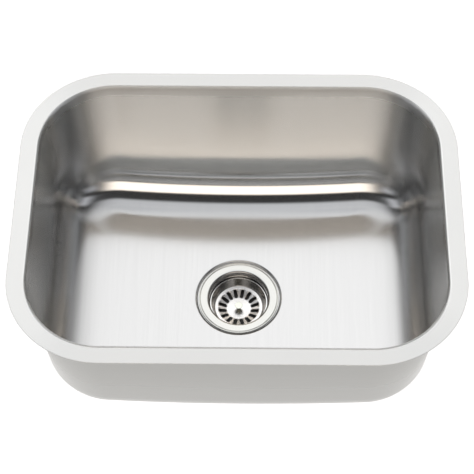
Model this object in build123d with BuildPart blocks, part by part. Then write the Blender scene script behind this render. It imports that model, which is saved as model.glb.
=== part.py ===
"""Undermount kitchen sink: one drawn stainless bowl with a basket strainer in its drain.

Millimetres. The rim's top plane is z = 0, +Z is up, +X runs along the sink's length to the
right and +Y towards its back. The drain's axis is the Z axis.
"""

from build123d import *
from math import cos, hypot, radians
import os

# ---------------------------------------------------------------- bowl
SINK_LENGTH = 584.2  # 23 in, left to right over the rim
SINK_WIDTH = 450.85  # 17 3/4 in, front to back over the rim
SINK_DEPTH = 228.6  # 9 in, from the rim's top to the underside of the drain recess
SHEET = 1.2  # 18 gauge stainless sheet
RIM_CORNER_R = 123.0
RIM_WIDTH = 25.0  # rim edge to bowl wall, in the rim's top plane
RIM_BEND_R = 4.5  # where the flat rim rolls over into the wall
WALL_DRAFT = 3.8  # degrees
COVE_R = 50.0  # between walls and floor, inside
DISH_R = 1700.0  # the floor is part of a large sphere, so it drains to the middle
RECESS_R = 61.1  # edge of the stamped drain recess
RECESS_FLOOR_R = 58.5
RECESS_DEPTH = 3.4
RECESS_BEND_R = 1.0  # inside of the sheet's two bends
DRAIN_HOLE_R = 44.45  # standard 3 1/2 in drain hole

# ---------------------------------------------------------------- sound pads under the floor
PAD_LENGTH = 110.0
PAD_WIDTH = 190.0
PAD_CORNER_R = 12.0
PAD_THICKNESS = 2.5
PAD_CENTRE_X = 132.0

# ---------------------------------------------------------------- strainer cup
GASKET_THICKNESS = 0.6
FLANGE_R = 57.15  # 4 1/2 in flange
FLANGE_THICKNESS = 1.4
FLANGE_BEVEL = 0.5
BEAD_WIDTH = 1.9  # raised outer bead of the flange
GROOVE_WIDTH = 0.9
GROOVE_DEPTH = 0.55
FLANGE_FALL = 0.4  # the flange's face slopes down towards the mouth
MOUTH_ROLL_R = 3.8  # where the flange rolls down into the cup
FLANGE_ROOT_BEVEL = 1.2  # under the flange, inside the drain hole
CUP_R = 41.9  # inside
CUP_WALL = 1.3
SEAT_TOP = 28.1  # below the flange's underside, where the cup's wall turns into the seat
SEAT_BOTTOM = 42.1
SEAT_BEVEL = 2.4
COLLAR_LENGTH = 5.0

# ---------------------------------------------------------------- outlet neck and its slip nut
NECK_BORE_R = 20.5
NECK_THREAD_R = 23.9  # 1 1/2 in slip joint thread
NECK_LENGTH = 27.0  # from the seat's bottom
SPIGOT_WALL = 1.7  # the neck's top stands in the cup's collar
CROSS_DROP = 1.0
CROSS_HEIGHT = 3.0
CROSS_ARM = 3.2
CROSS_HUB_R = 8.0
CROSS_HOLE_R = 5.0
DRAIN_TUBE_R = 19.05  # 1 1/2 in drain tube
DRAIN_TUBE_CLEARANCE = 0.3
TUBE_WASHER_THICKNESS = 3.2
TUBE_WASHER_EASE = 0.1  # its hole is this much wider than the nut's, until the nut squeezes it
COUPLING_HEIGHT = 21.5
COUPLING_FLATS_R = 28.0
COUPLING_LIP = 3.2
COUPLING_CHAMFER = 1.6

# ---------------------------------------------------------------- seals and locknut under the floor
SHANK_CLEARANCE = 0.3
RUBBER_WASHER_R = 55.5
RUBBER_WASHER_THICKNESS = 3.0
FRICTION_RING_R = 54.5
FRICTION_RING_THICKNESS = 1.0
LOCKNUT_R = 54.0
LOCKNUT_FLANGE = 2.4
LOCKNUT_HEIGHT = 8.0
LOCKNUT_WALL = 5.0
LOCKNUT_LUGS = 6
LUG_WIDTH = 9.0

# ---------------------------------------------------------------- basket
BASKET_SHEET = 0.8
BASKET_R = 41.0
BASKET_DROP = 10.7  # rim below the flange's underside
BASKET_HEM_WIDTH = 1.7  # the rim's edge is folded back on itself
BASKET_HEM_HEIGHT = 1.5
BASKET_DEPTH = 13.6  # rim to floor ring
BASKET_FLOOR_R = 34.8
SLOT_COUNT = 16
SLOT_OUTER_R = 29.4
SLOT_INNER_R = 17.7
SLOT_WIDTH = 5.0
SLOT_MARGIN = 0.8  # sheet left between the slots and the floor ring
DISC_R = 17.0
DISC_DROP = 5.4  # centre disc below the floor ring

# ---------------------------------------------------------------- knob and stem
KNOB_HEIGHT = 9.5
KNOB_TOP_R = 5.7
KNOB_NECK_R = 2.9
KNOB_NECK_HEIGHT = 3.0
KNOB_BEVEL = 0.6
STEM_R = 2.4
STEM_SPIGOT_R = 1.8
STEM_SPIGOT_LENGTH = 6.0
STEM_LENGTH = 23.1  # below the basket's disc
STEM_END = 0.4  # stands out of the nut

# ---------------------------------------------------------------- stopper, clip and nut on the stem
STOPPER_R = 35.5
STOPPER_BEVEL = 3.5  # width of the edge that meets the seat
STOPPER_LIP = 1.5
STOPPER_WEB = 2.7
STOPPER_HUB_R = 9.0
STOPPER_HUB = 4.7
PLATE_R = 8.0
PLATE_THICKNESS = 1.2
CLIP_SHEET = 0.5
CLIP_R = 4.6  # widest part of the fingers, where they bear in the cross
CLIP_TIP_R = 3.4
CLIP_COLLAR = 1.6
CLIP_FINGERS = 4
CLIP_SLIT = 2.2
STEM_NUT_FLATS_R = 3.6
STEM_NUT_HEIGHT = 2.5

# ---------------------------------------------------------------- clearances
RUNNING_GAP = 0.3  # between parts that move against each other
SLIP_GAP = 0.1  # between a rod and the hole it is fixed in

# ---------------------------------------------------------------- derived places
RECESS_FLOOR_Z = SHEET - SINK_DEPTH
FLOOR_DEPTH = SINK_DEPTH - SHEET - RECESS_DEPTH + RECESS_R**2 / (2 * DISH_R)
DISH_CENTRE_Z = DISH_R - FLOOR_DEPTH
FLANGE_Z = RECESS_FLOOR_Z + GASKET_THICKNESS
FLANGE_TOP_Z = FLANGE_Z + FLANGE_THICKNESS
SHANK_R = CUP_R + CUP_WALL
SEAT_TOP_Z = FLANGE_Z - SEAT_TOP
SEAT_BOTTOM_Z = FLANGE_Z - SEAT_BOTTOM
COLLAR_R = NECK_BORE_R + SPIGOT_WALL
COLLAR_Z = SEAT_BOTTOM_Z - COLLAR_LENGTH
SEAT_SLOPE = (SEAT_TOP_Z - SEAT_BOTTOM_Z) / (CUP_R - COLLAR_R)
NECK_Z = SEAT_BOTTOM_Z - NECK_LENGTH
CROSS_Z = SEAT_BOTTOM_Z - CROSS_DROP - CROSS_HEIGHT
TUBE_HOLE_R = DRAIN_TUBE_R + DRAIN_TUBE_CLEARANCE
TUBE_WASHER_Z = NECK_Z - TUBE_WASHER_THICKNESS
COUPLING_Z = TUBE_WASHER_Z - COUPLING_LIP
COUPLING_TOP_Z = COUPLING_Z + COUPLING_HEIGHT
WASHER_BORE_R = SHANK_R + SHANK_CLEARANCE
RUBBER_WASHER_Z = -SINK_DEPTH - RUBBER_WASHER_THICKNESS
FRICTION_RING_Z = RUBBER_WASHER_Z - FRICTION_RING_THICKNESS
LOCKNUT_Z = FRICTION_RING_Z - LOCKNUT_HEIGHT
BASKET_Z = FLANGE_Z - BASKET_DROP
BASKET_FLOOR_Z = BASKET_Z - BASKET_DEPTH
DISC_Z = BASKET_FLOOR_Z - DISC_DROP
STOPPER_Z = DISC_Z - BASKET_SHEET - RUNNING_GAP
PLATE_Z = STOPPER_Z - STOPPER_HUB - RUNNING_GAP - PLATE_THICKNESS
STEM_Z = DISC_Z - STEM_LENGTH
STEM_NUT_Z = STEM_Z + STEM_END
STEM_HOLE_R = STEM_R + SLIP_GAP

os.makedirs("parts", exist_ok=True)


def save(piece, name):
    """Label a finished piece and write it as its own STEP file."""
    piece.part.label = name
    export_step(piece.part, f"parts/{name}.step")


# ---------------------------------------------------------------- bowl
def bowl_form(grow):
    """The space inside the bowl, grown by the same amount on every side but the top.

    It is drawn upside down, because the walls draw in as they go down, and is turned over
    at the end. The sphere's poles lie on a level axis, out of the way of the floor.
    """
    side = grow / cos(radians(WALL_DRAFT))
    wall_run = (RECESS_R - RECESS_FLOOR_R) / RECESS_DEPTH
    base_r = RECESS_FLOOR_R + grow * (hypot(1, wall_run) - wall_run)
    cone_height = RECESS_DEPTH + COVE_R / 4
    with BuildPart() as form:
        with BuildSketch():
            RectangleRounded(
                SINK_LENGTH - 2 * RIM_WIDTH + 2 * side,
                SINK_WIDTH - 2 * RIM_WIDTH + 2 * side,
                RIM_CORNER_R - RIM_WIDTH + side,
            )
        extrude(amount=SINK_DEPTH + COVE_R, taper=WALL_DRAFT)
        with Locations((0, 0, -DISH_CENTRE_Z)):
            Sphere(DISH_R + grow, rotation=(0, 90, 0), mode=Mode.INTERSECT)
        floor = form.faces().sort_by(Axis.Z)[-1]
        fillet(floor.edges(), radius=COVE_R + grow)
        with Locations((0, 0, grow - RECESS_FLOOR_Z)):
            Cone(
                base_r + wall_run * cone_height,
                base_r,
                cone_height,
                align=(Align.CENTER, Align.CENTER, Align.MAX),
            )
        recess_edges = form.edges().filter_by(GeomType.CIRCLE).group_by(Axis.Z)
        fillet(recess_edges[-2], radius=RECESS_BEND_R + SHEET - grow)
        fillet(recess_edges[-1], radius=RECESS_BEND_R + grow)
    return form.part.rotate(Axis.X, 180)


with BuildPart() as bowl:
    with BuildSketch(Plane.XY.offset(-SHEET)):
        RectangleRounded(SINK_LENGTH, SINK_WIDTH, RIM_CORNER_R)
    extrude(amount=SHEET)
    add(bowl_form(SHEET))
    rim_underside = bowl.faces().filter_by(Axis.Z).sort_by(Axis.Z)[-2]
    fillet(rim_underside.inner_wires()[0].edges(), radius=RIM_BEND_R - SHEET)
    add(bowl_form(0), mode=Mode.SUBTRACT)
    rim_top = bowl.faces().filter_by(Axis.Z).sort_by(Axis.Z)[-1]
    fillet(rim_top.inner_wires()[0].edges(), radius=RIM_BEND_R)
    with Locations((0, 0, RECESS_FLOOR_Z)):
        Cylinder(DRAIN_HOLE_R, 4 * SHEET, mode=Mode.SUBTRACT)
save(bowl, "bowl")

# ---------------------------------------------------------------- sound pads, bent to the floor
for side, pad_name in ((-1, "sound_pad_left"), (1, "sound_pad_right")):
    with BuildPart() as pad:
        with BuildSketch(Plane.XY.offset(-SINK_DEPTH - PAD_THICKNESS)):
            with Locations((side * PAD_CENTRE_X, 0)):
                RectangleRounded(PAD_LENGTH, PAD_WIDTH, PAD_CORNER_R)
        extrude(amount=COVE_R)
        with Locations((0, 0, DISH_CENTRE_Z)):
            Sphere(DISH_R + SHEET + PAD_THICKNESS, rotation=(0, 90, 0), mode=Mode.INTERSECT)
            Sphere(DISH_R + SHEET, rotation=(0, 90, 0), mode=Mode.SUBTRACT)
    save(pad, pad_name)

# ---------------------------------------------------------------- strainer cup
seat_shift = CUP_WALL * (hypot(1, SEAT_SLOPE) - SEAT_SLOPE)
groove_out_r = FLANGE_R - BEAD_WIDTH
groove_in_r = groove_out_r - GROOVE_WIDTH
groove_mid_r = (groove_out_r + groove_in_r) / 2
mouth_z = FLANGE_TOP_Z - FLANGE_FALL
cup_bevels = (
    ((FLANGE_R, FLANGE_TOP_Z), FLANGE_BEVEL),
    ((SHANK_R, FLANGE_Z), FLANGE_ROOT_BEVEL),
    ((CUP_R, SEAT_TOP_Z), SEAT_BEVEL),
    ((SHANK_R, SEAT_TOP_Z - seat_shift), SEAT_BEVEL),
)
with BuildPart() as strainer_cup:
    with BuildSketch(Plane.XZ) as cup_section:
        with BuildLine():
            Polyline(
                (FLANGE_R, FLANGE_Z),
                (FLANGE_R, FLANGE_TOP_Z),
                (groove_out_r, FLANGE_TOP_Z),
                (groove_mid_r, FLANGE_TOP_Z - GROOVE_DEPTH),
                (groove_in_r, FLANGE_TOP_Z),
                (CUP_R, mouth_z),
                (CUP_R, SEAT_TOP_Z),
                (COLLAR_R, SEAT_BOTTOM_Z),
                (COLLAR_R, COLLAR_Z),
                (COLLAR_R + CUP_WALL, COLLAR_Z),
                (COLLAR_R + CUP_WALL, SEAT_BOTTOM_Z - seat_shift),
                (SHANK_R, SEAT_TOP_Z - seat_shift),
                (SHANK_R, FLANGE_Z),
                close=True,
            )
        make_face()
        fillet(cup_section.vertices().sort_by_distance((CUP_R, mouth_z))[0], radius=MOUTH_ROLL_R)
        for corner, bevel in cup_bevels:
            chamfer(cup_section.vertices().sort_by_distance(corner)[0], length=bevel)
    revolve(axis=Axis.Z)
save(strainer_cup, "strainer_cup")

# ---------------------------------------------------------------- outlet neck with its cross
with BuildPart() as outlet_neck:
    with BuildSketch(Plane.XZ):
        with BuildLine():
            Polyline(
                (NECK_BORE_R, NECK_Z),
                (NECK_THREAD_R, NECK_Z),
                (NECK_THREAD_R, COLLAR_Z),
                (COLLAR_R, COLLAR_Z),
                (COLLAR_R, SEAT_BOTTOM_Z - SPIGOT_WALL),
                (NECK_BORE_R, SEAT_BOTTOM_Z),
                close=True,
            )
        make_face()
    revolve(axis=Axis.Z)
    with BuildSketch(Plane.XY.offset(CROSS_Z)):
        Circle(CROSS_HUB_R)
        with PolarLocations(0, 2, angular_range=180):
            Rectangle(2 * NECK_BORE_R + SPIGOT_WALL, CROSS_ARM)
        Circle(CROSS_HOLE_R, mode=Mode.SUBTRACT)
    extrude(amount=CROSS_HEIGHT)
save(outlet_neck, "outlet_neck")

# ---------------------------------------------------------------- flange gasket
with BuildPart() as flange_gasket:
    with BuildSketch(Plane.XY.offset(RECESS_FLOOR_Z)):
        Circle(FLANGE_R - FLANGE_BEVEL)
        Circle(DRAIN_HOLE_R, mode=Mode.SUBTRACT)
    extrude(amount=GASKET_THICKNESS)
save(flange_gasket, "flange_gasket")

# ---------------------------------------------------------------- rubber washer
with BuildPart() as rubber_washer:
    with BuildSketch(Plane.XY.offset(RUBBER_WASHER_Z)):
        Circle(RUBBER_WASHER_R)
        Circle(WASHER_BORE_R, mode=Mode.SUBTRACT)
    extrude(amount=RUBBER_WASHER_THICKNESS)
save(rubber_washer, "rubber_washer")

# ---------------------------------------------------------------- friction ring
with BuildPart() as friction_ring:
    with BuildSketch(Plane.XY.offset(FRICTION_RING_Z)):
        Circle(FRICTION_RING_R)
        Circle(WASHER_BORE_R, mode=Mode.SUBTRACT)
    extrude(amount=FRICTION_RING_THICKNESS)
save(friction_ring, "friction_ring")

# ---------------------------------------------------------------- locknut with driving lugs
with BuildPart() as locknut:
    with BuildSketch(Plane.XY.offset(LOCKNUT_Z)):
        Circle(WASHER_BORE_R + LOCKNUT_WALL)
        with PolarLocations((WASHER_BORE_R + LOCKNUT_R) / 2, LOCKNUT_LUGS):
            Rectangle(LOCKNUT_R - WASHER_BORE_R, LUG_WIDTH)
    extrude(amount=LOCKNUT_HEIGHT)
    with BuildSketch(Plane.XY.offset(FRICTION_RING_Z - LOCKNUT_FLANGE)):
        Circle(LOCKNUT_R)
    extrude(amount=LOCKNUT_FLANGE)
    with Locations((0, 0, FRICTION_RING_Z)):
        Hole(WASHER_BORE_R)
save(locknut, "locknut")

# ---------------------------------------------------------------- tailpiece washer
with BuildPart() as tailpiece_washer:
    with BuildSketch(Plane.XY.offset(TUBE_WASHER_Z)):
        Circle(NECK_THREAD_R)
        Circle(TUBE_HOLE_R + TUBE_WASHER_EASE, mode=Mode.SUBTRACT)
    extrude(amount=TUBE_WASHER_THICKNESS)
save(tailpiece_washer, "tailpiece_washer")

# ---------------------------------------------------------------- coupling nut
with BuildPart() as coupling_nut:
    with BuildSketch(Plane.XY.offset(COUPLING_Z)):
        RegularPolygon(COUPLING_FLATS_R, 6, major_radius=False)
    extrude(amount=COUPLING_HEIGHT)
    chamfer(
        coupling_nut.faces().filter_by(Axis.Z).edges(),
        length=COUPLING_CHAMFER,
    )
    with BuildSketch(Plane.XY.offset(COUPLING_TOP_Z)):
        Circle(NECK_THREAD_R + SHANK_CLEARANCE)
    extrude(amount=COUPLING_LIP - COUPLING_HEIGHT, mode=Mode.SUBTRACT)
    with Locations((0, 0, COUPLING_TOP_Z)):
        Hole(TUBE_HOLE_R)
save(coupling_nut, "coupling_nut")

# ---------------------------------------------------------------- basket
with BuildPart() as basket:
    with BuildSketch(Plane.XZ):
        with BuildLine():
            Polyline(
                (BASKET_R - BASKET_HEM_WIDTH, BASKET_Z - BASKET_HEM_HEIGHT / 2),
                (BASKET_FLOOR_R, BASKET_FLOOR_Z),
                (SLOT_OUTER_R + SLOT_MARGIN, BASKET_FLOOR_Z),
                (DISC_R, DISC_Z),
                (STEM_HOLE_R, DISC_Z),
            )
            offset(amount=BASKET_SHEET, side=Side.LEFT, kind=Kind.INTERSECTION)
        make_face()
        with Locations((BASKET_R - BASKET_HEM_WIDTH, BASKET_Z)):
            Rectangle(BASKET_HEM_WIDTH, BASKET_HEM_HEIGHT, align=(Align.MIN, Align.MAX))
    revolve(axis=Axis.Z)
    slot_centre_r = (SLOT_OUTER_R + SLOT_INNER_R) / 2
    with BuildSketch(Plane.XY.offset(BASKET_Z)):
        with PolarLocations(slot_centre_r, SLOT_COUNT, start_angle=180 / SLOT_COUNT):
            SlotOverall(SLOT_OUTER_R - SLOT_INNER_R, SLOT_WIDTH)
    extrude(amount=-BASKET_DEPTH - DISC_DROP - 2 * BASKET_SHEET, mode=Mode.SUBTRACT)
save(basket, "basket")

# ---------------------------------------------------------------- knob
knob_edge = (KNOB_TOP_R, DISC_Z + KNOB_HEIGHT)
knob_neck = (KNOB_NECK_R, DISC_Z + KNOB_NECK_HEIGHT)
knob_bore_r = STEM_SPIGOT_R + SLIP_GAP
knob_bore_z = DISC_Z + STEM_SPIGOT_LENGTH + SLIP_GAP
with BuildPart() as knob:
    with BuildSketch(Plane.XZ) as knob_section:
        with BuildLine():
            Polyline(
                (0, DISC_Z + KNOB_HEIGHT),
                knob_edge,
                knob_neck,
                (KNOB_NECK_R, DISC_Z),
                (knob_bore_r, DISC_Z),
                (knob_bore_r, knob_bore_z),
                (0, knob_bore_z),
                close=True,
            )
        make_face()
        chamfer(knob_section.vertices().sort_by_distance(knob_edge)[0], length=KNOB_BEVEL)
        fillet(knob_section.vertices().sort_by_distance(knob_neck)[0], radius=KNOB_NECK_HEIGHT)
    revolve(axis=Axis.Z)
save(knob, "knob")

# ---------------------------------------------------------------- stem
with BuildPart() as stem:
    with BuildSketch(Plane.XY.offset(STEM_Z)):
        Circle(STEM_R)
    extrude(amount=STEM_LENGTH)
    with BuildSketch(Plane.XY.offset(DISC_Z)):
        Circle(STEM_SPIGOT_R)
    extrude(amount=STEM_SPIGOT_LENGTH)
save(stem, "stem")

# ---------------------------------------------------------------- rubber stopper, bevelled to the seat
seat_gap = RUNNING_GAP * hypot(1, SEAT_SLOPE)


def stopper_edge_z(radius):
    """Height of the stopper's bevelled edge over the seat."""
    return SEAT_TOP_Z - (CUP_R - radius) * SEAT_SLOPE + seat_gap


with BuildPart() as rubber_stopper:
    with BuildSketch(Plane.XZ):
        with BuildLine():
            Polyline(
                (STEM_R + RUNNING_GAP, STOPPER_Z),
                (STOPPER_R, STOPPER_Z),
                (STOPPER_R, stopper_edge_z(STOPPER_R)),
                (STOPPER_R - STOPPER_BEVEL, stopper_edge_z(STOPPER_R - STOPPER_BEVEL)),
                (STOPPER_R - STOPPER_BEVEL - STOPPER_LIP, STOPPER_Z - STOPPER_WEB),
                (STOPPER_HUB_R, STOPPER_Z - STOPPER_WEB),
                (STOPPER_HUB_R, STOPPER_Z - STOPPER_HUB),
                (STEM_R + RUNNING_GAP, STOPPER_Z - STOPPER_HUB),
                close=True,
            )
        make_face()
    revolve(axis=Axis.Z)
save(rubber_stopper, "rubber_stopper")

# ---------------------------------------------------------------- stopper plate
with BuildPart() as stopper_plate:
    with BuildSketch(Plane.XY.offset(PLATE_Z)):
        Circle(PLATE_R)
        Circle(STEM_HOLE_R, mode=Mode.SUBTRACT)
    extrude(amount=PLATE_THICKNESS)
save(stopper_plate, "stopper_plate")

# ---------------------------------------------------------------- spring clip
clip_bottom_z = STEM_NUT_Z + STEM_NUT_HEIGHT
with BuildPart() as spring_clip:
    with BuildSketch(Plane.XZ):
        with BuildLine():
            Polyline(
                (STEM_HOLE_R + CLIP_SHEET, PLATE_Z),
                (STEM_HOLE_R + CLIP_SHEET, PLATE_Z - CLIP_COLLAR),
                (CLIP_R, CROSS_Z + CROSS_HEIGHT / 2),
                (CLIP_TIP_R, clip_bottom_z),
            )
            offset(amount=CLIP_SHEET, side=Side.RIGHT)
        make_face()
    revolve(axis=Axis.Z)
    with BuildSketch(Plane.XY.offset(PLATE_Z - CLIP_COLLAR)):
        with PolarLocations(0, CLIP_FINGERS // 2, angular_range=180):
            Rectangle(3 * CLIP_R, CLIP_SLIT)
    extrude(amount=STEM_Z - PLATE_Z, mode=Mode.SUBTRACT)
save(spring_clip, "spring_clip")

# ---------------------------------------------------------------- stem nut
with BuildPart() as stem_nut:
    with BuildSketch(Plane.XY.offset(STEM_NUT_Z)):
        RegularPolygon(STEM_NUT_FLATS_R, 6, major_radius=False)
        Circle(STEM_HOLE_R, mode=Mode.SUBTRACT)
    extrude(amount=STEM_NUT_HEIGHT)
save(stem_nut, "stem_nut")
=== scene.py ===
"""Looks of the undermount kitchen sink: brushed bowl, polished strainer, seals and nuts.

Metres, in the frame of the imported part: the rim's top plane is z = 0, +Z is up, +Y is the
sink's back, and the drain's axis is the Z axis.
"""

import math

import bmesh
import bpy
import numpy as np
from mathutils import Matrix, Vector


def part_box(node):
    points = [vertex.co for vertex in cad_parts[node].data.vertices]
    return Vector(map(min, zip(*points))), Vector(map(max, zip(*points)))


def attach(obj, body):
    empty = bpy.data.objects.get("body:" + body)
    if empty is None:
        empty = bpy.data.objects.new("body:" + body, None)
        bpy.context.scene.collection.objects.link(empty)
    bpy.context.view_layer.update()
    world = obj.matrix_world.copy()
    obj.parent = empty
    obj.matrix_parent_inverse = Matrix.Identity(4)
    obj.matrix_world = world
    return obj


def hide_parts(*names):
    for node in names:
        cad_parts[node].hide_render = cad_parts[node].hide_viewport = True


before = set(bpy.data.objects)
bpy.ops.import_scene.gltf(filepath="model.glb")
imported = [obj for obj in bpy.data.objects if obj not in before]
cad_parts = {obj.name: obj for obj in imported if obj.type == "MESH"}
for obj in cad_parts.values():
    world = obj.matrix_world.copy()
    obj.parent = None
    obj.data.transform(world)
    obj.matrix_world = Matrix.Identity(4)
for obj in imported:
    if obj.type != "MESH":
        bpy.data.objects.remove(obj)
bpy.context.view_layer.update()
MM = 0.001

# ---------------------------------------------------------------- sizes of the bowl
bowl_low, bowl_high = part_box("bowl")
HALF_LENGTH = bowl_high.x
HALF_WIDTH = bowl_high.y
SINK_DEPTH = -bowl_low.z
SHEET = 1.2 * MM
RIM_CORNER_R = 123 * MM
RIM_WIDTH = 25 * MM
RIM_BEND_R = 4.5 * MM
RIM_EDGE_R = 0.3 * MM  # the sheet's cut edge, linished
WALL_DRAFT = math.radians(3.8)
COVE_R = 50 * MM
DISH_R = 1700 * MM
RECESS_R = 61.1 * MM
RECESS_FLOOR_R = 58.5 * MM
RECESS_DEPTH = 3.4 * MM
RECESS_BEND_R = 1 * MM
DRAIN_HOLE_R = 44.45 * MM
EASE_SLOPE = 0.13  # how much steeper the floor meets the cove than a plain dish would
EASE_FLOOR = 38 * MM  # how far in on the floor, and up the cove, that dies away
EASE_COVE = 16 * MM
FLOOR_DEPTH = SINK_DEPTH - SHEET - RECESS_DEPTH + RECESS_R**2 / (2 * DISH_R)
DISH_CENTRE_Z = DISH_R - FLOOR_DEPTH
RECESS_FLOOR_Z = SHEET - SINK_DEPTH

# ---------------------------------------------------------------- mesh density
CORNER_STEPS = 30
RUN_STEP = 6 * MM  # along the straight sides
EDGE_STEPS = 4  # on each face's half of the rim's cut edge
BEND_STEPS = 8
COVE_STEPS = 40
FLOOR_STEPS = 28
FLOOR_CROWDING = 1.4  # over 1, the floor's rows lie closer near the cove
RECESS_LEAD = 8 * MM  # where the floor's rows end, out from the recess
SPIN_STEPS = 192
SLOT_END_STEPS, SLOT_SIDE_STEPS = 8, 5

# ---------------------------------------------------------------- roughness of the brushed steel
RIM_HAZE, COVE_HAZE, FLOOR_HAZE = 0.265, 0.265, 0.185
SIDE_BEND_HAZE, BACK_BEND_HAZE = 0.15, 0.5  # the rim's bend, at the sides and at the back and front
WALL_END_HAZE = 0.15  # where the wall meets the cove
WALL_ROWS = (  # way down the wall, roughness
    (0.08, 0.265),
    (0.25, 0.265),
    (0.45, 0.255),
    (0.65, 0.22),
    (0.85, 0.17),
    (0.97, WALL_END_HAZE),
)
COVE_HAZE_STEPS = 14  # of the cove's steps, until it is as smooth as the floor
LEVEL_END, LEVEL_FADE = 8, 2  # the cove's step where the level brushing ends, steps it fades over


# ---------------------------------------------------------------- mesh helpers
def mesh_piece(name, points, faces, sharp_angle=40):
    """A smooth-shaded mesh object whose edges over that angle stay sharp."""
    mesh = bpy.data.meshes.new(name)
    mesh.from_pydata([tuple(p) for p in points], [], faces)
    mesh.validate()
    mesh.polygons.foreach_set("use_smooth", [True] * len(mesh.polygons))
    mesh.set_sharp_from_angle(angle=math.radians(sharp_angle))
    piece = bpy.data.objects.new(name, mesh)
    bpy.context.scene.collection.objects.link(piece)
    return piece


def rounded(corners, steps=6):
    """A chain of (radius, height) points through corners of (radius, height, bend radius)."""
    chain = []
    for index, (r, z, bend) in enumerate(corners):
        here = Vector((r, z))
        if bend <= 0:
            chain.append(here)
            continue
        before = Vector(corners[index - 1][:2]) - here
        after = Vector(corners[(index + 1) % len(corners)][:2]) - here
        before.normalize()
        after.normalize()
        half = math.acos(max(-1, min(1, before.dot(after)))) / 2
        centre = here + (before + after).normalized() * bend / math.sin(half)
        start = here + before * bend / math.tan(half) - centre
        end = here + after * bend / math.tan(half) - centre
        sweep = math.pi - 2 * half
        for step in range(steps + 1):
            share = step / steps
            near = math.sin((1 - share) * sweep) / math.sin(sweep)
            far = math.sin(share * sweep) / math.sin(sweep)
            chain.append(centre + start * near + end * far)
    return [(point.x, point.y) for point in chain]


def spin(section, closed, steps=SPIN_STEPS):
    """Points and faces of a section turned round the Z axis. An open section ends on the axis."""
    points, rings, faces = [], [], []
    for r, z in section:
        count = steps if r > 0 else 1
        rings.append([len(points) + i for i in range(count)])
        for i in range(count):
            angle = 2 * math.pi * i / steps
            points.append((r * math.cos(angle), r * math.sin(angle), z))
    pairs = list(zip(rings, rings[1:] + rings[:1])) if closed else list(zip(rings, rings[1:]))
    for near, far in pairs:
        for i in range(steps):
            j = (i + 1) % steps
            quad = [near[i % len(near)], near[j % len(near)], far[j % len(far)], far[i % len(far)]]
            faces.append(list(dict.fromkeys(quad)))
    return points, faces


# ---------------------------------------------------------------- bowl
def bowl_columns():
    """Base points and outward normals of the bowl's columns, once round the opening."""
    core_x = HALF_LENGTH - RIM_CORNER_R
    core_y = HALF_WIDTH - RIM_CORNER_R
    corners = ((core_x, core_y), (-core_x, core_y), (-core_x, -core_y), (core_x, -core_y))
    bases, normals = [], []
    for index, corner in enumerate(corners):
        for step in range(CORNER_STEPS + 1):
            angle = math.radians(90) * (index + step / CORNER_STEPS)
            bases.append(corner)
            normals.append((math.cos(angle), math.sin(angle)))
        following = corners[(index + 1) % 4]
        run = math.dist(corner, following)
        steps = round(run / RUN_STEP)
        for step in range(1, steps):
            share = step / steps
            bases.append([a + (b - a) * share for a, b in zip(corner, following)])
            normals.append(normals[-1])
    return np.array(bases), np.array(normals)


def ease_lift(past_joint):
    """How far the pressed metal stands over a plain cove and dish near where they join.

    past_joint is the distance from the joint, positive on the floor and negative in the cove.
    """
    floor_share = np.clip(1 - past_joint / EASE_FLOOR, 0, 1)
    cove_share = 1 - np.clip(1 + past_joint / EASE_COVE, 0, 1)
    on_floor = EASE_FLOOR * np.where(past_joint > 0, floor_share, 1) ** 3
    in_cove = EASE_COVE * np.where(past_joint < 0, 1 - (1 - cove_share) ** 3, 0)
    return EASE_SLOPE / 3 * (on_floor + in_cove)


def dish_z(r, grow):
    """Height of the dished floor at a distance from the drain's axis."""
    return DISH_CENTRE_Z - np.sqrt((DISH_R + grow) ** 2 - r**2)


def cove_arcs(bases, normals, grow, wall_top_r):
    """The arc of each column's cove, as a ball that touches the drafted wall and the dished floor.

    Returns the balls' centres, the directions from there to the wall and to the floor, and the
    angle between the two.
    """
    cos_draft, sin_draft, tan_draft = math.cos(WALL_DRAFT), math.sin(WALL_DRAFT), math.tan(WALL_DRAFT)
    ball = COVE_R + grow
    reach_0 = wall_top_r - ball * cos_draft
    lift = ball * sin_draft - DISH_CENTRE_Z
    along = (bases * normals).sum(1)
    # the height at which a ball on the wall is also as far from the dish's centre as one on the floor
    a = tan_draft**2 + 1
    b = 2 * ((along + reach_0) * tan_draft + lift)
    c = (bases**2).sum(1) + 2 * along * reach_0 + reach_0**2 + lift**2 - (DISH_R + grow - ball) ** 2
    wall_end_z = (-b - np.sqrt(b * b - 4 * a * c)) / (2 * a)
    reach = reach_0 + wall_end_z * tan_draft
    centres = np.column_stack([bases + normals * reach[:, None], wall_end_z + ball * sin_draft])
    down = centres - (0, 0, DISH_CENTRE_Z)
    down /= np.linalg.norm(down, axis=1)[:, None]
    out = np.column_stack([normals * cos_draft, np.full(len(bases), -sin_draft)])
    sweep = np.arccos((out * down).sum(1))[:, None]
    return centres, out, down, sweep


def recess_section(grow):
    """The stamped recess as (radius, height) points, from the floor to the drain hole."""
    run = (RECESS_R - RECESS_FLOOR_R) / RECESS_DEPTH
    base_r = RECESS_FLOOR_R + grow * (math.hypot(1, run) - run)
    base_z = RECESS_FLOOR_Z - grow
    edge_r = RECESS_R
    for _ in range(4):  # each round comes closer to where the recess's wall meets the floor
        edge_r = base_r + run * (dish_z(edge_r, grow) - base_z)
    lead_r = RECESS_R + RECESS_LEAD
    return rounded(
        [
            (lead_r, dish_z(lead_r, grow), 0),
            (edge_r, dish_z(edge_r, grow), RECESS_BEND_R + SHEET - grow),
            (base_r, base_z, RECESS_BEND_R + grow),
            (DRAIN_HOLE_R, base_z, 0),
        ]
    )


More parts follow.
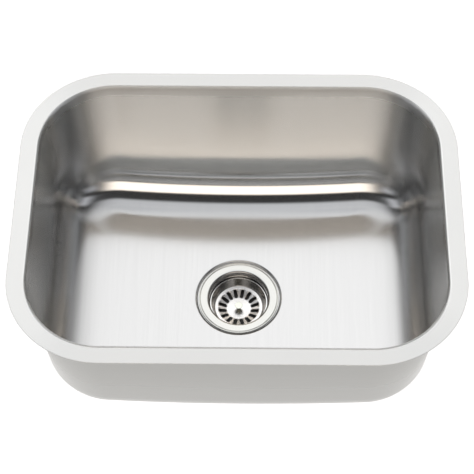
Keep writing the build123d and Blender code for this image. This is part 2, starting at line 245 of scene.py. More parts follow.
def bowl_skin(bases, normals, grow):
    """One face of the sheet as rows of points, from the rim's edge to the drain hole.

    grow is 0 for the inside and the sheet's thickness for the outside. Beside the rows comes
    the finish of each row's points: the share of the wall's level brushing, and the roughness.
    """
    count = len(bases)
    rows, finishes = [], []

    def finish(level_share, haze):  # the haze is one number, or one for each column
        finishes.append(np.column_stack([np.full(count, level_share), np.zeros(count) + haze]))

    def level_row(r, z, haze):
        rows.append(np.column_stack([bases + normals * r, np.full(count, z)]))
        finish(1, haze)

    # the rim's cut edge, its flat and its bend, which is hazier along the back and the front
    side = 1 if grow == 0 else -1
    half_sheet = SHEET / 2
    for step in range(EDGE_STEPS + 1):
        angle = math.radians(90) * step / EDGE_STEPS
        level_row(
            RIM_CORNER_R - RIM_EDGE_R * (1 - math.cos(angle)),
            side * (half_sheet - RIM_EDGE_R * (1 - math.sin(angle))) - half_sheet,
            RIM_HAZE,
        )
    wall_top_r = RIM_CORNER_R - RIM_WIDTH + grow / math.cos(WALL_DRAFT)
    bend = RIM_BEND_R - grow
    bend_end_z = -RIM_BEND_R + bend * math.sin(WALL_DRAFT)
    bend_centre_r = wall_top_r + bend_end_z * math.tan(WALL_DRAFT) + bend * math.cos(WALL_DRAFT)
    flat_r = RIM_CORNER_R - RIM_EDGE_R
    for r in (flat_r - MM, (flat_r + bend_centre_r) / 2, bend_centre_r + MM):
        level_row(r, -grow, RIM_HAZE)
    bend_haze = SIDE_BEND_HAZE + (BACK_BEND_HAZE - SIDE_BEND_HAZE) * abs(normals[:, 1])
    for step in range(BEND_STEPS + 1):
        angle = (math.radians(90) - WALL_DRAFT) * step / BEND_STEPS
        r, z = bend_centre_r - bend * math.sin(angle), -RIM_BEND_R + bend * math.cos(angle)
        level_row(r, z, RIM_HAZE if step == 0 else bend_haze)

    # wall, cove
    centres, out, down, sweep = cove_arcs(bases, normals, grow, wall_top_r)
    ball = COVE_R + grow
    cove = []
    for step in range(COVE_STEPS + 1):
        share = step / COVE_STEPS
        turned = np.sin((1 - share) * sweep) * out + np.sin(share * sweep) * down
        row = centres + ball * turned / np.sin(sweep)
        row[:, 2:] += ease_lift((share - 1) * sweep * ball)
        cove.append(row)
    wall_tops = rows[-1]
    for share, haze in WALL_ROWS:
        rows.append(wall_tops + (cove[0] - wall_tops) * share)
        finish(1, haze)
    rows += cove
    for step in range(len(cove)):
        level = min(1, max(0, (LEVEL_END - step) / LEVEL_FADE))
        fading = max(0, 1 - step / COVE_HAZE_STEPS)
        cove_haze = FLOOR_HAZE + fading * (COVE_HAZE - FLOOR_HAZE)
        finish(level, cove_haze + level * (WALL_END_HAZE - cove_haze))

    # floor, straight towards the drain, and the recess round it
    starts = rows[-1][:, :2]
    distances = np.linalg.norm(starts, axis=1)[:, None]
    headings = starts / distances
    for step in range(1, FLOOR_STEPS + 1):
        run_in = (distances - RECESS_R - RECESS_LEAD) * (step / FLOOR_STEPS) ** FLOOR_CROWDING
        r = distances - run_in
        rows.append(np.hstack([headings * r, dish_z(r, grow) + ease_lift(run_in)]))
    for r, z in recess_section(grow)[1:]:
        rows.append(np.column_stack([headings * r, np.full(count, z)]))
    while len(finishes) < len(rows):
        finish(0, FLOOR_HAZE)
    return rows, finishes


def make_bowl():
    """The drawn bowl as one closed sheet of steel."""
    bases, normals = bowl_columns()
    inside, inside_finishes = bowl_skin(bases, normals, 0)
    outside, outside_finishes = bowl_skin(bases, normals, SHEET)
    rows = inside + outside[::-1]
    count = len(bases)
    faces = []
    for row in range(len(rows)):
        upper, lower = row * count, (row + 1) % len(rows) * count
        for column in range(count):
            beside = (column + 1) % count
            faces.append((upper + column, upper + beside, lower + beside, lower + column))
    piece = mesh_piece("sink_bowl", np.vstack(rows), faces)
    finishes = np.vstack(inside_finishes + outside_finishes[::-1])
    add_grain(piece, np.tile(normals, (len(rows), 1)), finishes)
    return piece, (len(inside) - 1) * count


def add_grain(piece, outward, finishes):
    """Stores at each point the two directions of brush marks, the share of each, and the roughness.

    The marks run front to back on the floor and the cove, and level round the walls and the rim.
    """
    mesh = piece.data
    normals = np.zeros(len(mesh.vertices) * 3, np.float32)
    mesh.vertex_normals.foreach_get("vector", normals)
    normals = normals.reshape(-1, 3)
    front_to_back = np.array((0.0, 1.0, 0.0)) - normals * normals[:, 1:2]
    level = np.column_stack([-outward[:, 1], outward[:, 0], np.zeros(len(outward))])
    for name, lines in (("floor_grain", front_to_back), ("wall_grain", level)):
        lines /= np.maximum(np.linalg.norm(lines, axis=1)[:, None], 1e-6)
        grain = mesh.attributes.new(name, "FLOAT_VECTOR", "POINT")
        grain.data.foreach_set("vector", lines.astype(np.float32).ravel())
    for name, values in zip(("wall_share", "haze"), finishes.T):
        finish = mesh.attributes.new(name, "FLOAT", "POINT")
        finish.data.foreach_set("value", values.astype(np.float32))


# ---------------------------------------------------------------- strainer, sizes in mm
FLANGE_R, FLANGE_Z, FLANGE_TOP_Z, FLANGE_FALL = 57.15, -226.8, -225.4, 0.4
GROOVE_R, GROOVE_HALF, GROOVE_DEPTH = 54.9, 0.8, 0.8  # the line pressed inside the flange's bead
CUP_R, SHANK_R, MOUTH_ROLL_R = 41.9, 43.2, 3.8
SEAT_TOP_Z, SEAT_BOTTOM_Z, COLLAR_Z = -254.9, -268.9, -273.9
COLLAR_R, COLLAR_BORE_R = 23.5, 22.2
LOCKNUT_Z, NECK_THREAD_R, COUPLING_TOP_Z = -240.6, 23.9, -280.8
BASKET_R, BASKET_Z, BASKET_FLOOR_Z, BASKET_FLOOR_R = 41.0, -237.5, -251.1, 34.8
BASKET_SHEET = 0.8
HEM_R, HEM_HEIGHT, HEM_FOLD = 39.3, 1.5, 1.1  # the hem's inner edge, its height outside and inside
BASKET_UNDER_R, BASKET_HEEL_R = 39.82, 35.3  # its outside, under the hem and at the floor
SLOT_COUNT, SLOT_INNER_R, SLOT_OUTER_R, SLOT_HALF = 16, 17.7, 29.4, 2.5
SLOT_EDGE_R, SLOT_RING_R, LAND = 0.3, 30.2, 0.5  # the land is plain sheet beside the slotted ring
DISC_R, DISC_Z, STEM_HOLE_R = 17.0, -256.5, 2.5
KNOB_TOP_R, KNOB_NECK_R, KNOB_HEIGHT, KNOB_NECK_HEIGHT = 5.7, 2.9, 9.5, 3.0
KNOB_EDGE_R, KNOB_FACE_R, KNOB_CROWN = 0.2, 4.1, 0.05
KNOB_BORE_R, KNOB_BORE_HEIGHT = 1.9, 6.1
THREAD_DEPTH, THREAD_SUNK = 0.55, 0.1
THREAD_FOOT, THREAD_CREST = 0.46, 0.06  # half of the ridge's width, as a share of the pitch
THREAD_STEPS, THREAD_RUN_OUT = 72, 12  # steps in a turn, steps over which an end runs out


def scaled(points):
    """Points in mm as points in metres."""
    return [tuple(value * MM for value in point) for point in points]


def make_cup():
    """The strainer's body: flange with its pressed line, cup wall, seat and collar."""
    section = rounded(
        [
            (FLANGE_R, FLANGE_Z, 0.15),
            (FLANGE_R, FLANGE_TOP_Z, 0.7),
            (GROOVE_R + GROOVE_HALF, FLANGE_TOP_Z, 0.25),
            (GROOVE_R, FLANGE_TOP_Z - GROOVE_DEPTH, 0.25),
            (GROOVE_R - GROOVE_HALF, FLANGE_TOP_Z, 0.25),
            (CUP_R, FLANGE_TOP_Z - FLANGE_FALL, MOUTH_ROLL_R),
            (CUP_R, SEAT_TOP_Z, 3.0),
            (COLLAR_BORE_R, SEAT_BOTTOM_Z, 1.0),
            (COLLAR_BORE_R, COLLAR_Z, 0.2),
            (COLLAR_R, COLLAR_Z, 0.2),
            (COLLAR_R, SEAT_BOTTOM_Z - 0.7, 1.0),
            (SHANK_R, SEAT_TOP_Z - 0.6, 3.0),
            (SHANK_R, FLANGE_Z, 1.0),
        ],
        steps=7,
    )
    return mesh_piece("strainer_body", *spin(scaled(section), closed=True))


def basket_height(r):
    """The top of the slotted ring, which falls from the basket's floor to its centre disc."""
    share = min(1, max(0, (r - DISC_R) / (SLOT_RING_R - DISC_R)))
    return DISC_Z + share * (BASKET_FLOOR_Z - DISC_Z)


def slot_outline(half_width):
    """The round-ended slot as (x, y) points, from its inner end round by its -Y side."""
    inner = SLOT_INNER_R + SLOT_HALF
    outer = SLOT_OUTER_R - SLOT_HALF
    points = []
    for centre, first, side in ((inner, 90, -1), (outer, 270, 1)):
        for step in range(SLOT_END_STEPS + 1):
            angle = math.radians(first + 180 * step / SLOT_END_STEPS)
            points.append((centre + half_width * math.cos(angle), half_width * math.sin(angle)))
        for step in range(1, SLOT_SIDE_STEPS):
            reach = centre - side * (outer - inner) * step / SLOT_SIDE_STEPS
            points.append((reach, side * half_width))
    return points


def sector_outline():
    """The border of one slot's sector, with as many points as the slot's outline."""
    half = math.pi / SLOT_COUNT
    points = []
    for r, side in ((DISC_R, 1), (SLOT_RING_R, -1)):
        for step in range(SLOT_END_STEPS + 1):
            angle = side * half * (1 - 2 * step / SLOT_END_STEPS)
            points.append((r * math.cos(angle), r * math.sin(angle)))
        for step in range(1, SLOT_SIDE_STEPS):
            reach = r + side * (SLOT_RING_R - DISC_R) * step / SLOT_SIDE_STEPS
            points.append((reach * math.cos(half), -side * reach * math.sin(half)))
    return points


def slotted_ring():
    """Points and faces of the punched ring: sixteen sectors, each with a slot that goes through."""
    border = sector_outline()
    loops = (
        (border, 0),
        (slot_outline(SLOT_HALF + SLOT_EDGE_R), 0),
        (slot_outline(SLOT_HALF), -SLOT_EDGE_R),
        (slot_outline(SLOT_HALF), -BASKET_SHEET),
        (border, -BASKET_SHEET),
    )
    points, faces = [], []
    count = len(border)
    for sector in range(SLOT_COUNT):
        turn = 2 * math.pi * (sector + 0.5) / SLOT_COUNT
        first = len(points)
        for loop, drop in loops:
            for x, y in loop:
                turned_x = x * math.cos(turn) - y * math.sin(turn)
                turned_y = x * math.sin(turn) + y * math.cos(turn)
                points.append((turned_x, turned_y, basket_height(math.hypot(x, y)) + drop))
        for row in range(len(loops) - 1):
            for i in range(count):
                j = (i + 1) % count
                near, far = first + row * count, first + (row + 1) * count
                faces.append((near + i, near + j, far + j, far + i))
    return points, faces


def make_basket():
    """The stamped basket: hemmed rim, sloping wall, sixteen punched slots and centre disc."""
    wall = rounded(
        [
            (SLOT_RING_R, BASKET_FLOOR_Z, 0),
            (SLOT_RING_R + LAND, BASKET_FLOOR_Z, 0),
            (BASKET_FLOOR_R, BASKET_FLOOR_Z, 1.6),
            (HEM_R, BASKET_Z - HEM_FOLD, 0.3),
            (HEM_R, BASKET_Z, 0.35),
            (BASKET_R, BASKET_Z, 0.35),
            (BASKET_R, BASKET_Z - HEM_HEIGHT, 0.6),
            (BASKET_UNDER_R, BASKET_Z - HEM_HEIGHT, 0.2),
            (BASKET_HEEL_R, BASKET_FLOOR_Z - BASKET_SHEET, 2.4),
            (SLOT_RING_R + LAND, BASKET_FLOOR_Z - BASKET_SHEET, 0),
            (SLOT_RING_R, BASKET_FLOOR_Z - BASKET_SHEET, 0),
        ]
    )
    disc = rounded(
        [
            (DISC_R, DISC_Z - BASKET_SHEET, 0),
            (DISC_R - LAND, DISC_Z - BASKET_SHEET, 0),
            (STEM_HOLE_R, DISC_Z - BASKET_SHEET, 0),
            (STEM_HOLE_R, DISC_Z, 0.15),
            (DISC_R - LAND, DISC_Z, 0),
            (DISC_R, DISC_Z, 0),
        ]
    )
    points, faces = slotted_ring()
    for section in (wall, disc):
        more, quads = spin(section, closed=False, steps=SLOT_COUNT * SLOT_END_STEPS)
        shift = len(points)
        points += more
        faces += [[shift + i for i in quad] for quad in quads]
    piece = mesh_piece("strainer_basket", scaled(points), faces)
    welded = bmesh.new()
    welded.from_mesh(piece.data)
    bmesh.ops.remove_doubles(welded, verts=welded.verts, dist=0.01 * MM)
    bmesh.ops.recalc_face_normals(welded, faces=welded.faces)
    welded.to_mesh(piece.data)
    welded.free()
    piece.data.set_sharp_from_angle(angle=math.radians(40))
    return piece


def make_knob():
    """The turned knob: a flat top, a tapered side and a round neck."""
    top = DISC_Z + KNOB_HEIGHT
    section = rounded(
        [
            (0, DISC_Z + KNOB_BORE_HEIGHT, 0),
            (KNOB_BORE_R, DISC_Z + KNOB_BORE_HEIGHT, 0),
            (KNOB_BORE_R, DISC_Z, 0),
            (KNOB_NECK_R, DISC_Z, 0.2),
            (KNOB_NECK_R, DISC_Z + KNOB_NECK_HEIGHT, 1.5),
            (KNOB_TOP_R, top, KNOB_EDGE_R),
            (KNOB_FACE_R, top, 0),
            (0, top + KNOB_CROWN, 0),
        ]
    )
    return mesh_piece("basket_knob", *spin(scaled(section), closed=False, steps=96), sharp_angle=50)


def make_thread(name, r, low, high, pitch):
    """A helical ridge that stands proud of a turned wall, with its ends run out."""
    turns = (high - low) / pitch - 1
    steps = round(turns * THREAD_STEPS)
    points, faces = [], []
    for step in range(steps + 1):
        angle = 2 * math.pi * turns * step / steps
        crest_r = r + THREAD_DEPTH * min(1, step / THREAD_RUN_OUT, (steps - step) / THREAD_RUN_OUT)
        foot_r = r - THREAD_SUNK
        z = low + pitch / 2 + pitch * turns * step / steps
        foot, crest = THREAD_FOOT * pitch, THREAD_CREST * pitch
        for reach, lift in ((foot_r, -foot), (crest_r, -crest), (crest_r, crest), (foot_r, foot)):
            points.append((reach * math.cos(angle), reach * math.sin(angle), z + lift))
    for step in range(steps):
        for i in range(4):
            j = (i + 1) % 4
            faces.append((step * 4 + i, step * 4 + 4 + i, step * 4 + 4 + j, step * 4 + j))
    faces += [(3, 2, 1, 0), tuple(steps * 4 + i for i in range(4))]
    return mesh_piece(name, scaled(points), faces, sharp_angle=30)


# ---------------------------------------------------------------- materials
ACROSS_GRAIN = 0.25  # of a turn, so that a glint spreads across the grain
NOISE_SPAN = (0.3, 0.7)  # the values that most of a noise lies between
FLOOR_MARKS = ((1500, 9, 60), (170, 3, 12))  # scales of the fine and the broad marks
WALL_MARKS = ((9, 9, 1500), (5, 5, 170))


def new_material(name):
    """An empty node material and its Principled shader."""
    material = bpy.data.materials.new(name)
    material.use_nodes = True
    return material, material.node_tree, material.node_tree.nodes["Principled BSDF"]


def place(tree):
    """Where on its own object a point lies."""
    return tree.nodes.new("ShaderNodeTexCoord").outputs["Object"]


def attribute(tree, name, output):
    node = tree.nodes.new("ShaderNodeAttribute")
    node.attribute_name = name
    return node.outputs[output]


def noise(tree, vector, scale, detail):
    node = tree.nodes.new("ShaderNodeTexNoise")
    node.inputs["Scale"].default_value = scale
    node.inputs["Detail"].default_value = detail
    tree.links.new(vector, node.inputs["Vector"])
    return node.outputs["Fac"]


def brush_marks(tree, vector, scales, detail):
    """Noise drawn out into lines, from a scale for each axis."""
    node = tree.nodes.new("ShaderNodeMapping")
    node.inputs["Scale"].default_value = scales
    tree.links.new(vector, node.inputs["Vector"])
    return noise(tree, node.outputs["Vector"], 1, detail)


def calculated(tree, operation, *values):
    """A math node on sockets and plain numbers."""
    node = tree.nodes.new("ShaderNodeMath")
    node.operation = operation
    for value, socket in zip(values, node.inputs):
        if isinstance(value, (int, float)):
            socket.default_value = value
        else:
            tree.links.new(value, socket)
    return node.outputs["Value"]


def map_range(tree, value, span, result, interpolation="LINEAR"):
    """The value, with a span of it made to run over the result's two numbers."""
    node = tree.nodes.new("ShaderNodeMapRange")
    node.interpolation_type = interpolation
    node.inputs["From Min"].default_value, node.inputs["From Max"].default_value = span
    node.inputs["To Min"].default_value, node.inputs["To Max"].default_value = result
    tree.links.new(value, node.inputs["Value"])
    return node.outputs["Result"]


def ranged(tree, value, low, high):
    """A noise value, remapped to run from low to high."""
    return map_range(tree, value, NOISE_SPAN, (low, high))


def add_bump(tree, shader, height, distance):
    node = tree.nodes.new("ShaderNodeBump")
    node.inputs["Distance"].default_value = distance
    tree.links.new(height, node.inputs["Height"])
    tree.links.new(node.outputs["Normal"], shader.inputs["Normal"])


def tint(tree, shader, color, strength):
    """The base colour, scaled by a value that varies over the surface."""
    scaling = tree.nodes.new("ShaderNodeVectorMath")
    scaling.operation = "SCALE"
    scaling.inputs[0].default_value = color
    tree.links.new(strength, scaling.inputs["Scale"])
    tree.links.new(scaling.outputs["Vector"], shader.inputs["Base Color"])


def brush(tree, shader, color, wear, anisotropic, grain, fine_scales, broad_scales):
    """Makes a Principled shader steel that is brushed along a stored grain.

    wear is how many times rougher it is than the stored haze.
    """
    shader.inputs["Metallic"].default_value = 1
    shader.inputs["Anisotropic"].default_value = anisotropic
    shader.inputs["Anisotropic Rotation"].default_value = ACROSS_GRAIN
    tree.links.new(attribute(tree, grain, "Vector"), shader.inputs["Tangent"])
    where = place(tree)
    fine = brush_marks(tree, where, fine_scales, 3)
    broad = brush_marks(tree, where, broad_scales, 2)
    fine_shade = ranged(tree, fine, -0.02, 0.02)
    broad_shade = ranged(tree, broad, 0.992, 1.008)
    tint(tree, shader, color, calculated(tree, "ADD", fine_shade, broad_shade))
    swing = wear * 0.02
    fine_wear = ranged(tree, fine, -swing, swing)
    broad_wear = ranged(tree, broad, wear - swing / 2, wear + swing / 2)
    worn = calculated(tree, "ADD", fine_wear, broad_wear)
    haze = attribute(tree, "haze", "Fac")
    tree.links.new(calculated(tree, "MULTIPLY", haze, worn), shader.inputs["Roughness"])


def brushed_sheet(name, floor_finish, wall_finish):
    """Brushed steel sheet. Each finish is (colour, wear, anisotropy)."""
    material, tree, floor_shader = new_material(name)
    brush(tree, floor_shader, *floor_finish, "floor_grain", *FLOOR_MARKS)
    wall_shader = tree.nodes.new("ShaderNodeBsdfPrincipled")
    brush(tree, wall_shader, *wall_finish, "wall_grain", *WALL_MARKS)
    mix = tree.nodes.new("ShaderNodeMixShader")
    tree.links.new(attribute(tree, "wall_share", "Fac"), mix.inputs["Fac"])
    tree.links.new(floor_shader.outputs["BSDF"], mix.inputs[1])
    tree.links.new(wall_shader.outputs["BSDF"], mix.inputs[2])
    tree.links.new(mix.outputs["Shader"], tree.nodes["Material Output"].inputs["Surface"])
    return material


def turned_steel(name, color, roughness, wear=0.02, rings=0.0):
    """Polished or turned metal with a faint haze. rings is how strong its turned rings are."""
    material, tree, shader = new_material(name)
    shader.inputs["Base Color"].default_value = (*color, 1)
    shader.inputs["Metallic"].default_value = 1
    if rings:
        grain = tree.nodes.new("ShaderNodeTangent")
        grain.direction_type = "RADIAL"
        grain.axis = "Z"
        tree.links.new(grain.outputs["Tangent"], shader.inputs["Tangent"])
        shader.inputs["Anisotropic"].default_value = rings
        shader.inputs["Anisotropic Rotation"].default_value = ACROSS_GRAIN
    haze = noise(tree, place(tree), 90, 3)
    tree.links.new(ranged(tree, haze, roughness - wear, roughness + wear), shader.inputs["Roughness"])
    return material


def moulded(name, color, roughness, grain, depth):
    """Rubber, foam, fibre or plastic: a dull colour with a fine grain."""
    material, tree, shader = new_material(name)
    where = place(tree)
    tint(tree, shader, color, ranged(tree, noise(tree, where, 60, 3), 0.85, 1.15))
    shader.inputs["Roughness"].default_value = roughness
    add_bump(tree, shader, noise(tree, where, grain, 2), depth)
    return material


def cast_zinc(name, color):
    """Die-cast metal: dull, slightly pitted."""
    material, tree, shader = new_material(name)
    shader.inputs["Base Color"].default_value = (*color, 1)
    shader.inputs["Metallic"].default_value = 1
    where = place(tree)
    tree.links.new(ranged(tree, noise(tree, where, 400, 4), 0.4, 0.56), shader.inputs["Roughness"])
    add_bump(tree, shader, noise(tree, where, 900, 4), 0.05 * MM)
    return material


def paint(piece, *choices):
    piece.data.materials.clear()
    for material in choices:
        piece.data.materials.append(material)


def paint_parts(piece, bands):
    """Gives each (material, inner, outer) the faces that lie between those radii in mm."""
    paint(piece, *[material for material, _, _ in bands])
    for face in piece.data.polygons:
        r = face.center.xy.length / MM
        for index, (_, inner, outer) in enumerate(bands):
            if inner <= r < outer:
                face.material_index = index


floor_finish = ((0.645, 0.645, 0.645), 1, 0.97)
wall_finish = ((0.72, 0.72, 0.71), 1, 0.975)
bowl_inside = brushed_sheet("bowl_inside", floor_finish, wall_finish)
# Partly the duller unpolished outside of the sheet, partly painted shade: the outside's colour is much
# darker than the inside's steel.
outside_painted_shade_color = (0.43, 0.43, 0.42)
bowl_outside = brushed_sheet("bowl_outside", (outside_painted_shade_color, 1.8, 0.4), (outside_painted_shade_color, 1.4, 0.4))
polished_strainer = turned_steel("polished_strainer", (0.655, 0.655, 0.63), 0.16)
# Painted shade: the strainer's steel below its mouth is the flange's steel made darker, for the shade
# in and under the cup.
strainer_painted_shade = turned_steel("strainer_painted_shade", (0.42, 0.41, 0.4), 0.2)
# Painted highlight: the hem is the basket's steel made far lighter so its rim reads bright; its low
# roughness is real polish.
hem_painted_highlight = turned_steel("hem_painted_highlight", (0.92, 0.92, 0.91), 0.1, 0.01)
# Painted shade: the basket's wall is the same sheet as its ring and hem, made darker for the shade
# inside the cup.
basket_wall_painted_shade = turned_steel("basket_wall_painted_shade", (0.5, 0.49, 0.475), 0.16)
# Partly real turned rings, partly painted highlight: the slotted ring and disc are the basket's steel
# made much lighter.
turned_ring_painted_highlight = turned_steel("turned_ring_painted_highlight", (0.87, 0.86, 0.85), 0.24, rings=0.9)
polished_knob = turned_steel("polished_knob", (0.74, 0.76, 0.68), 0.18)
# Painted shade: the knob's tapered side is the same steel as its top, made near black for its shade and
# dark reflection.
knob_side_painted_shade = turned_steel("knob_side_painted_shade", (0.2, 0.19, 0.15), 0.25)
plain_steel = turned_steel("plain_steel", (0.65, 0.65, 0.64), 0.28)
nickel_brass = turned_steel("nickel_brass", (0.72, 0.71, 0.69), 0.24)
chrome = turned_steel("chrome", (0.8, 0.8, 0.8), 0.06, 0.015)
zinc = cast_zinc("zinc", (0.6, 0.6, 0.6))
black_rubber = moulded("black_rubber", (0.035, 0.035, 0.035), 0.6, 1400, 0.03 * MM)
pad_rubber = moulded("pad_rubber", (0.12, 0.12, 0.125), 0.75, 700, 0.12 * MM)
# Painted shade: the flange's gasket is made near black so the gap round the flange reads dark.
gasket_painted_shade = moulded("gasket_painted_shade", (0.05, 0.05, 0.05), 0.9, 2200, 0.05 * MM)
fibre = moulded("fibre", (0.5, 0.38, 0.27), 0.8, 1600, 0.04 * MM)
white_plastic = moulded("white_plastic", (0.85, 0.85, 0.83), 0.45, 900, 0.01 * MM)

# ---------------------------------------------------------------- pieces
bowl, inside_faces = make_bowl()
paint(bowl, bowl_inside, bowl_outside)
sides = [0 if index < inside_faces else 1 for index in range(len(bowl.data.polygons))]
bowl.data.polygons.foreach_set("material_index", sides)
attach(bowl, "sink")
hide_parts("bowl")

cup = make_cup()
mouth_r = CUP_R + 2.2  # part of the way up the rolled mouth
# Below the rolled mouth the cup gets the darker copy of the strainer's steel, as painted shade.
paint_parts(cup, ((strainer_painted_shade, 0, mouth_r), (polished_strainer, mouth_r, FLANGE_R + 1)))
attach(cup, "sink")
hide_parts("strainer_cup")

basket = make_basket()
# The basket's one sheet gets lighter and darker copies of its steel by radius: painted highlight on the
# slotted ring and the hem, painted shade on the wall.
paint_parts(
    basket,
    (
        (turned_ring_painted_highlight, 0, BASKET_FLOOR_R - 1),
        (basket_wall_painted_shade, BASKET_FLOOR_R - 1, HEM_R),
        (hem_painted_highlight, HEM_R, BASKET_R + 1),
    ),
)
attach(basket, "basket")
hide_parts("basket")

knob = make_knob()
# The side below the top edge gets the painted shade, and the top keeps the steel's own colour.
paint(knob, knob_side_painted_shade, polished_knob)
for face in knob.data.polygons:
    face.material_index = int(face.center.z > (DISC_Z + KNOB_HEIGHT - KNOB_EDGE_R) * MM)
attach(knob, "basket")
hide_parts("knob")

shank_thread = make_thread("shank_thread", SHANK_R, SEAT_TOP_Z + 1.5, LOCKNUT_Z + 1, 2.1)
paint(shank_thread, strainer_painted_shade)
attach(shank_thread, "sink")

neck_thread = make_thread("neck_thread", NECK_THREAD_R, COUPLING_TOP_Z - 1, COLLAR_Z - 0.3, 2.2)
paint(neck_thread, nickel_brass)
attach(neck_thread, "sink")

CARRIED_OVER = {
    "sound_pad_left": pad_rubber,
    "sound_pad_right": pad_rubber,
    "outlet_neck": nickel_brass,
    "flange_gasket": gasket_painted_shade,
    "rubber_washer": black_rubber,
    "friction_ring": fibre,
    "locknut": zinc,
    "tailpiece_washer": white_plastic,
    "coupling_nut": chrome,
    "stem": plain_steel,
    "rubber_stopper": black_rubber,
    "stopper_plate": plain_steel,
    "spring_clip": plain_steel,
    "stem_nut": plain_steel,
}
for node_name, material in CARRIED_OVER.items():
    paint(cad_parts[node_name], material)


# ---------------------------------------------------------------- stage and light
FLOOR_Z = -0.9
FLOOR_SIDE = 24.0
FLOOR_GLOW = 0.62  # what it adds to its own shading, where the camera or a reflection sees it


def make_floor():
    """A pale floor under the sink, white to the camera and in reflections."""
    half = FLOOR_SIDE / 2
    corners = [(x, y, FLOOR_Z) for x, y in ((-half, -half), (half, -half), (half, half), (-half, half))]
    floor = mesh_piece("floor", corners, [(0, 1, 2, 3)])
    material, tree, shader = new_material("floor_white")
    shader.inputs["Base Color"].default_value = (0.85, 0.85, 0.85, 1)
    shader.inputs["Roughness"].default_value = 0.9
    shader.inputs["Specular IOR Level"].default_value = 0.1
    glow = tree.nodes.new("ShaderNodeEmission")
    seen = tree.nodes.new("ShaderNodeLightPath").outputs
    any_ray = calculated(tree, "ADD", seen["Is Camera Ray"], seen["Is Glossy Ray"])
    any_ray = calculated(tree, "ADD", any_ray, seen["Is Transmission Ray"])
    tree.links.new(calculated(tree, "MULTIPLY", any_ray, FLOOR_GLOW), glow.inputs["Strength"])
    both = tree.nodes.new("ShaderNodeAddShader")
    tree.links.new(shader.outputs["BSDF"], both.inputs[0])
    tree.links.new(glow.outputs["Emission"], both.inputs[1])
    tree.links.new(both.outputs["Shader"], tree.nodes["Material Output"].inputs["Surface"])
    paint(floor, material)


# Each light fills a window of the sky. Its arc is in degrees over the sink from back (0)
# through overhead (90) to front (180), and fades in and out between the numbers given. Its
# side is where its middle stands to the right of that arc, then how far to either side of
# that middle it stays full and fades out.
STUDIO_LIGHTS = (
    # the back panel, its brighter lower part and the glow about it
    ((26, 38, 88, 97), (-4, 13, 40), (0.77, 0.785, 0.81)),
    ((26, 38, 62, 84), (-4, 13, 40), (0.2, 0.185, 0.16)),
    ((20, 34, 62, 84), (2, 26, 70), (0.4, 0.4, 0.4)),
    # the warm panel over the front
    ((118, 124, 147, 153), (0, 15, 36), (2.12, 1.9, 1.67)),
    # the cool panels at the left and the right, first the high pair and then the one to the front
    ((84, 90, 110, 118), (-54, 6, 13), (0.78, 0.8, 0.84)),
    ((84, 90, 110, 118), (54, 6, 13), (0.68, 0.7, 0.74)),
    ((128, 136, 160, 170), (-54, 7, 15), (0.78, 0.8, 0.84)),
    ((128, 136, 160, 170), (54, 6, 13), (0.6, 0.625, 0.67)),
)
STUDIO_GREY = (0.05, 0.05, 0.05)
HORIZON_GREY = (0.4, 0.4, 0.4)
HORIZON_FADE = (3, 18)  # degrees over the horizon
FADE_IN, FADE_OUT = (0, 1), (1, 0)


def fade(tree, value, start, end, result):
    """The value, made to run smoothly over the result's two numbers from start to end."""
    return map_range(tree, value, (start, end), result, "SMOOTHSTEP")


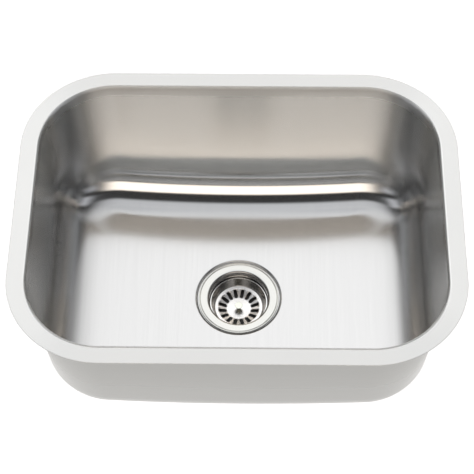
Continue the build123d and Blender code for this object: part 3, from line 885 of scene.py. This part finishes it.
def make_world():
    """A dim grey studio with soft panels over the sink's back, front and sides."""
    world = bpy.data.worlds.new("studio")
    world.use_nodes = True
    tree = world.node_tree
    parts = tree.nodes.new("ShaderNodeSeparateXYZ")
    tree.links.new(tree.nodes.new("ShaderNodeTexCoord").outputs["Generated"], parts.inputs["Vector"])
    x, y, z = (parts.outputs[axis] for axis in "XYZ")
    arc = calculated(tree, "DEGREES", calculated(tree, "ARCTAN2", z, y))
    side = calculated(tree, "DEGREES", calculated(tree, "ARCSINE", x))
    height = calculated(tree, "DEGREES", calculated(tree, "ARCSINE", z))
    low_sky = fade(tree, height, *HORIZON_FADE, FADE_OUT)
    windows = [(low_sky, HORIZON_GREY)]
    for (fade_in, full, full_end, fade_out), (middle, *side_fade), color in STUDIO_LIGHTS:
        opens = fade(tree, arc, fade_in, full, FADE_IN)
        closes = fade(tree, arc, full_end, fade_out, FADE_OUT)
        off_middle = calculated(tree, "ABSOLUTE", calculated(tree, "SUBTRACT", side, middle))
        across = fade(tree, off_middle, *side_fade, FADE_OUT)
        window = calculated(tree, "MULTIPLY", calculated(tree, "MULTIPLY", opens, closes), across)
        windows.append((window, color))
    total = None
    for window, color in windows:
        glow = tree.nodes.new("ShaderNodeVectorMath")
        glow.operation = "MULTIPLY_ADD"
        glow.inputs[1].default_value = color
        glow.inputs[2].default_value = STUDIO_GREY
        tree.links.new(window, glow.inputs[0])
        if total is not None:
            tree.links.new(total, glow.inputs[2])
        total = glow.outputs["Vector"]
    tree.links.new(total, tree.nodes["Background"].inputs["Color"])
    bpy.context.scene.world = world


make_floor()
make_world()

# ---------------------------------------------------------------- camera, fitted to the photograph
PHOTO_SIDE = 474
FOCAL_PIXELS = 1518.8
SENSOR_WIDTH = 36
CAMERA_PLACE = Vector((0.0239, -1.0903, 1.6445))
CAMERA_PITCH = math.radians(57.462)
CAMERA_YAW = math.radians(-1.327)
CAMERA_ROLL = math.radians(-0.665)


def make_camera():
    forward = Vector(
        (
            math.sin(CAMERA_YAW) * math.cos(CAMERA_PITCH),
            math.cos(CAMERA_YAW) * math.cos(CAMERA_PITCH),
            -math.sin(CAMERA_PITCH),
        )
    )
    right = Vector((math.cos(CAMERA_YAW), -math.sin(CAMERA_YAW), 0))
    up = right.cross(forward)
    rolled_right = right * math.cos(CAMERA_ROLL) + up * math.sin(CAMERA_ROLL)
    rolled_up = up * math.cos(CAMERA_ROLL) - right * math.sin(CAMERA_ROLL)
    lens = bpy.data.cameras.new("camera")
    lens.sensor_width = SENSOR_WIDTH
    lens.lens = FOCAL_PIXELS / PHOTO_SIDE * SENSOR_WIDTH
    lens.clip_end = 100
    camera = bpy.data.objects.new("camera", lens)
    turn = Matrix((rolled_right, rolled_up, -forward)).transposed().to_4x4()
    camera.matrix_world = Matrix.Translation(CAMERA_PLACE) @ turn
    bpy.context.scene.collection.objects.link(camera)
    bpy.context.scene.camera = camera


make_camera()

bpy.context.scene.view_settings.view_transform = "Standard"
